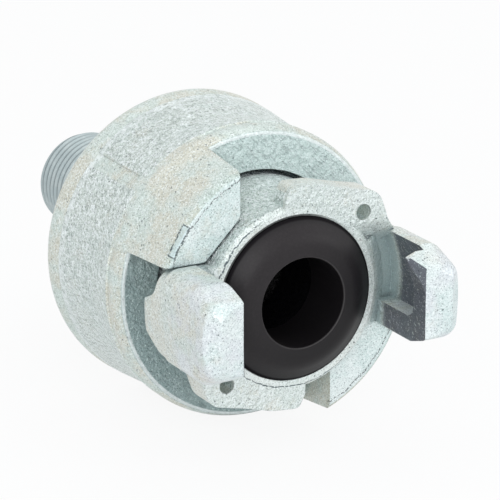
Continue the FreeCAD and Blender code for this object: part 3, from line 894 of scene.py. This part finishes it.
@dataclass(frozen=True)
class SpringSteel:
    """Drawn or stamped steel: darker and smoother than the castings, with a faint film."""

    clean: Colour = (0.36, 0.37, 0.38)
    dull_and_shade: Colour = (0.25, 0.25, 0.255)
    film: Pattern = Pattern(650.0, 5.0, 0.7, ramp=Ramp(0.30, 0.80))
    grain: Pattern = Pattern(2000.0, 2.0, 0.6)
    grain_depth: float = 0.015 * MM
    metallic: float = 0.9
    roughness: float = 0.36

    def dress(self, name: str) -> bpy.types.Material:
        """Builds the material.

        Args:
            name: The material's name.

        Returns:
            The finished material.
        """
        bench = NodeBench(name)
        bench.base = bench.mix(self.clean, self.dull_and_shade, bench.noise(self.film))
        bench.relief(bench.noise(self.grain), self.grain_depth)
        return bench.surface(self.metallic, self.roughness)


def redress(node: str, material: bpy.types.Material) -> bpy.types.Object:
    """Gives a CAD node a new material in every slot.

    Args:
        node: The node's name.
        material: The material it gets.

    Returns:
        The node's object.
    """
    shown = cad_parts[node]
    if not shown.material_slots:
        shown.data.materials.append(material)
    for place in shown.material_slots:
        place.material = material
    return shown


def ring_mesh(name: str, points: np.ndarray, capped: bool) -> bpy.types.Object:
    """Makes a smooth object from rings of points, each ring joined to the next.

    Args:
        name: The object's name.
        points: An array of shape (rings, points in a ring, 3), in metres.
        capped: Whether a face closes the first and the last ring.

    Returns:
        The new object, in the scene.
    """
    rings, around = points.shape[:2]
    index = np.arange(rings * around).reshape(rings, around)
    index = np.concatenate([index, index[:, :1]], axis=1)
    quads = np.stack([index[:-1, :-1], index[:-1, 1:], index[1:, 1:], index[1:, :-1]], axis=-1)
    faces = quads.reshape(-1, 4).tolist()
    if capped:
        faces += [index[0, -2::-1].tolist(), index[-1, :-1].tolist()]
    mesh = bpy.data.meshes.new(name)
    mesh.from_pydata(points.reshape(-1, 3), [], faces)
    mesh.polygons.foreach_set("use_smooth", np.ones(len(mesh.polygons), bool))
    mesh.update()
    made = bpy.data.objects.new(name, mesh)
    bpy.context.scene.collection.objects.link(made)
    return made


@dataclass
class ThreadedStem:
    """The tapered pipe thread's ridges, on the pitch cone of the stem."""

    pitch: float = 1.814 * MM
    crest: float = 0.70 * MM
    flank_gain: float = 1.25
    root_width: float = 0.06
    taper: float = 1 / 32
    end_radius: float = 9.63 * MM
    stem_end: float = FACE_Y + 91.8 * MM
    start: float = FACE_Y + 71.4 * MM
    end: float = FACE_Y + 91.75 * MM
    run_in: float = 1.2
    chamfer: float = 1.0 * MM
    lead_length: float = 0.9
    lead_drop: float = 0.85 * MM
    lift: float = 0.015 * MM
    sink: float = 0.4 * MM
    columns: int = 96
    per_pitch: int = 12
    finish: PlatedThread = field(default_factory=PlatedThread)

    def surface(self) -> tuple[np.ndarray, np.ndarray]:
        """Works out the thread as one surface around the cone.

        The radius at (angle, y) is the cone's radius there plus the crest height times a
        triangle wave of y / pitch - angle / turn, with its top cut flat, and fades out at both
        ends. The cone itself drops along the chamfer at the stem's end. The last row at each
        end sinks into the cone.

        Returns:
            The grid of points, and each point's height above the roots, from 0 to 1.
        """
        rows = int((self.end - self.start) / self.pitch * self.per_pitch)
        y = np.linspace(self.start, self.end, rows)[:, None]
        angle = np.linspace(0.0, 2 * math.pi, self.columns, endpoint=False)[None, :]
        phase = (y / self.pitch - angle / (2 * math.pi)) % 1.0
        height = np.clip((1 - np.abs(2 * phase - 1)) * self.flank_gain - self.root_width, 0.0, 1.0)
        height = height * np.clip((y - self.start) / (self.run_in * self.pitch), 0.0, 1.0)
        height = height * np.clip((self.end - y) / self.chamfer, 0.0, 1.0)
        cone = self.end_radius + (self.stem_end - y) * self.taper
        lead = np.clip((self.end - y) / (self.lead_length * self.chamfer), 0.0, 1.0)
        radius = cone + self.lift + self.crest * height - (1 - lead) * self.lead_drop
        sunk = np.zeros_like(y)
        sunk[0] = sunk[-1] = self.sink
        radius = radius - sunk
        points = np.stack([radius * np.cos(angle), y + 0 * angle, -radius * np.sin(angle)], axis=-1)
        return points, height

    def build(self) -> bpy.types.Object:
        """Makes the ridges and dresses them.

        Returns:
            The ridges' object.
        """
        points, height = self.surface()
        made = ring_mesh("thread_ridges", points, capped=False)
        layer = made.data.attributes.new("ridge", "FLOAT", "POINT")
        layer.data.foreach_set("value", height.astype(np.float32).ravel())
        made.data.materials.append(self.finish.dress("plated_thread", "ridge"))
        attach(made, "head")
        return made


@dataclass
class SleeveSpring:
    """The coil spring, with closed end coils, in place of the frame's plain coil."""

    wire: float = 0.85 * MM
    coil: float = 18.4 * MM
    front: float = FACE_Y + 27.60 * MM
    back: float = FACE_Y + 43.95 * MM
    travel: float = 9.0 * MM
    end_turns: float = 0.75
    free_turns: float = 2.5
    opening_at: float = 0.55
    closed_rise: float = 1.1
    tip_share: float = 0.4
    tip_steepness: float = 30.0
    steps_per_turn: int = 72
    sides: int = 16
    finish: SpringSteel = field(default_factory=SpringSteel)

    def surface(self) -> np.ndarray:
        """Works out the wire as a tube along a helix whose pitch is small in its end coils.

        The path runs at the coil's radius. Its place along the axis is a small even rise, plus
        the rest of the room shared out by a speed that is 0 in the end coils and grows smoothly
        to 1 in the free ones. Each ring is the path's point plus the wire's radius times the
        cosine outwards and the sine along the axis; the radius shrinks a little at the tips.

        Returns:
            The grid of points.
        """
        turns = 2 * self.end_turns + self.free_turns
        turn = np.linspace(0.0, turns, int(turns * self.steps_per_turn))
        ends = np.minimum(turn, turns - turn)
        speed = np.clip((ends - self.opening_at * self.end_turns) / self.end_turns, 0.0, 1.0)
        speed = speed * speed * (3 - 2 * speed)
        room = self.back - self.front - 2 * self.wire
        closed = self.closed_rise * self.wire
        rise = np.cumsum(speed)
        rise = (rise - rise[0]) / (rise[-1] - rise[0])
        y = self.front + self.wire + turn / turns * closed + rise * (room - closed)
        angle = 2 * math.pi * turn
        around = np.linspace(0.0, 2 * math.pi, self.sides, endpoint=False)
        thick = self.wire * np.clip(ends * self.tip_steepness, self.tip_share, 1.0)
        reach = self.coil + thick[:, None] * np.cos(around)[None, :]
        place = y[:, None] + thick[:, None] * np.sin(around)[None, :]
        return np.stack([reach * np.cos(angle)[:, None], place, reach * np.sin(angle)[:, None]], axis=-1)

    def build(self) -> bpy.types.Object:
        """Makes the spring, hides the frame's plain coil and ties the spring to the head.

        Returns:
            The spring's object.
        """
        made = ring_mesh("spring_coil", self.surface(), capped=True)
        made.data.materials.append(self.finish.dress("spring_wire"))
        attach(made, "head")
        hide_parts("sleeve_spring")
        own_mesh(made)
        return made


@dataclass
class CouplingHead:
    """The cast body with its claws and lugs, its thread, its seal and what holds the spring."""

    casting: HeadPlating = field(default_factory=HeadPlating)
    rubber: MouldedRubber = field(default_factory=MouldedRubber)
    steel: SpringSteel = field(default_factory=SpringSteel)
    stem: ThreadedStem = field(default_factory=ThreadedStem)
    spring: SleeveSpring = field(default_factory=SleeveSpring)

    def build(self) -> list[bpy.types.Object]:
        """Dresses the head's nodes and adds its thread and spring.

        Returns:
            The pieces of the head.
        """
        stamped = self.steel.dress("stamped_steel")
        return [
            redress("coupling_body", self.casting.dress("plated_head")),
            redress("face_seal", self.rubber.dress("moulded_rubber")),
            redress("spring_seat", stamped),
            redress("retaining_ring", stamped),
            self.stem.build(),
            self.spring.build(),
        ]


@dataclass
class LockingSleeve:
    """The sliding drum with its rough panels and its two fingers."""

    casting: SleevePlating = field(default_factory=SleevePlating)

    def build(self) -> list[bpy.types.Object]:
        """Dresses the sleeve."""
        return [redress("locking_sleeve", self.casting.dress("plated_sleeve"))]


@dataclass(frozen=True)
class Lamp:
    """A soft square lamp: where it stands, its side in metres, its power and its colour."""

    name: str
    place: Triple
    size: float
    watts: float
    colour: Colour
    target: Triple = (0.0, -0.05, 0.0)

    def build(self) -> None:
        """Adds the lamp, turned towards the object."""
        light = bpy.data.lights.new(self.name, "AREA")
        light.shape = "SQUARE"
        light.size = self.size
        light.energy = self.watts
        light.color = self.colour
        made = bpy.data.objects.new(self.name, light)
        place = Vector(self.place)
        turn = (Vector(self.target) - place).to_track_quat("-Z", "Y").to_matrix().to_4x4()
        made.matrix_world = Matrix.Translation(place) @ turn
        bpy.context.scene.collection.objects.link(made)


@dataclass
class Studio:
    """The white sweep, the soft lamps and the camera at the photograph's angle."""

    azimuth: float = math.radians(-29.376)
    elevation: float = math.radians(18.322)
    frame_pixels: float = 500.0
    focal_pixels: float = 3000.0
    centre_x: float = 295.526
    centre_y: float = 298.688
    distance: float = 572.606 * MM
    sensor_width: float = 36.0
    near: float = 0.01
    far: float = 20.0
    floor_z: float = -30.9 * MM
    floor_side: float = 1.5
    floor_colour: Colour = (0.85, 0.85, 0.85)
    floor_white: float = 0.90
    world_colour: Colour = (0.92, 0.96, 1.0)
    world_light: float = 0.80
    lamps: tuple[Lamp, ...] = (
        Lamp("lamp_front", (-0.50, -0.85, 0.40), 0.6, 3.2, (0.98, 0.99, 1.0)),
        Lamp("lamp_above", (0.05, -0.05, 0.80), 0.8, 1.2, (1.0, 0.99, 0.97)),
        Lamp("lamp_right", (0.60, -0.60, 0.25), 0.4, 0.8, (1.0, 1.0, 1.0)),
    )

    def camera(self) -> None:
        """Places the camera so that the sealing face lies where the photograph has it."""
        azimuth, elevation = self.azimuth, self.elevation
        back = Vector((math.sin(azimuth) * math.cos(elevation),
                       -math.cos(azimuth) * math.cos(elevation), math.sin(elevation)))
        right = (-back).cross(Vector((0, 0, 1))).normalized()
        up = right.cross(-back)
        per_pixel = self.distance / self.focal_pixels
        middle = self.frame_pixels / 2
        place = (Vector((0, FACE_Y, 0)) + back * self.distance
                 - right * (self.centre_x - middle) * per_pixel + up * (self.centre_y - middle) * per_pixel)
        lens = bpy.data.cameras.new("camera")
        lens.sensor_width = self.sensor_width
        lens.lens = self.sensor_width * self.focal_pixels / self.frame_pixels
        lens.clip_start = self.near
        lens.clip_end = self.far
        made = bpy.data.objects.new("camera", lens)
        turn = Matrix((right, up, back)).transposed().to_4x4()
        made.matrix_world = Matrix.Translation(place) @ turn
        bpy.context.scene.collection.objects.link(made)
        bpy.context.scene.camera = made

    def background_share(self, tools: NodeTools, share: float) -> Socket:
        """Tells rays that show the background from rays that light the object.

        Args:
            tools: The tree to build in.
            share: How white the background is for the rays that show it.

        Returns:
            The socket of the share of white: for camera, glossy and transmitted rays.
        """
        rays = tools.add("LightPath").outputs
        shown = tools.math(Sum.MAXIMUM, rays["Is Camera Ray"], rays["Is Glossy Ray"])
        shown = tools.math(Sum.MAXIMUM, shown, rays["Is Transmission Ray"])
        return tools.times(shown, share)

    def mixed(self, tools: NodeTools, share: float, lit: bpy.types.Node,
              white: bpy.types.Node, output: str) -> None:
        """Shows a white shader to the rays that show the background, and another one to the rest.

        Args:
            tools: The tree to build in.
            share: How white the background is.
            lit: The shader that lights the object or takes its shadow.
            white: The white shader.
            output: The kind of the tree's output node.
        """
        mix = tools.add("MixShader")
        tools.link(self.background_share(tools, share), mix.inputs[0])
        tools.link(lit.outputs[0], mix.inputs[1])
        tools.link(white.outputs[0], mix.inputs[2])
        tools.add(output, Surface=mix.outputs[0])

    def world(self) -> None:
        """Lights the scene evenly and shows white to the camera and to reflections."""
        world = bpy.data.worlds.new("studio")
        world.use_nodes = True
        world.node_tree.nodes.clear()
        tools = NodeTools(world.node_tree)
        pocket_shade = tools.add("Background", Color=self.world_colour, Strength=self.world_light)
        self.mixed(tools, 1.0, pocket_shade, tools.add("Background", Color=WHITE), "OutputWorld")
        bpy.context.scene.world = world

    def floor(self) -> None:
        """Lays a pale floor, white to the camera except where a faint shadow falls."""
        side = self.floor_side
        square = np.array([[-side, -side], [side, -side], [side, side], [-side, side]])
        mesh = bpy.data.meshes.new("floor")
        mesh.from_pydata(np.column_stack([square, np.full(4, self.floor_z)]), [], [(0, 1, 2, 3)])
        made = bpy.data.objects.new("floor", mesh)
        bpy.context.scene.collection.objects.link(made)
        material = bpy.data.materials.new("pale_floor")
        material.use_nodes = True
        material.node_tree.nodes.clear()
        tools = NodeTools(material.node_tree)
        paint = tools.add("BsdfDiffuse", Color=self.floor_colour)
        glow = tools.add("Emission", Color=WHITE, Strength=1.0)
        self.mixed(tools, self.floor_white, paint, glow, "OutputMaterial")
        mesh.materials.append(material)

    def build(self) -> None:
        """Sets up the whole studio."""
        self.world()
        self.floor()
        for lamp in self.lamps:
            lamp.build()
        self.camera()
        bpy.context.scene.view_settings.view_transform = "Standard"


def main() -> None:
    """Builds the coupling in order."""
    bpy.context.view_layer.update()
    logging.basicConfig(level=logging.INFO, format="%(message)s")
    for assembly in (CouplingHead(), LockingSleeve()):
        for piece in assembly.build():
            log.info("%s: %s, %d faces", type(assembly).__name__, piece.name, len(piece.data.polygons))
    Studio().build()


if __name__ == "__main__":
    main()
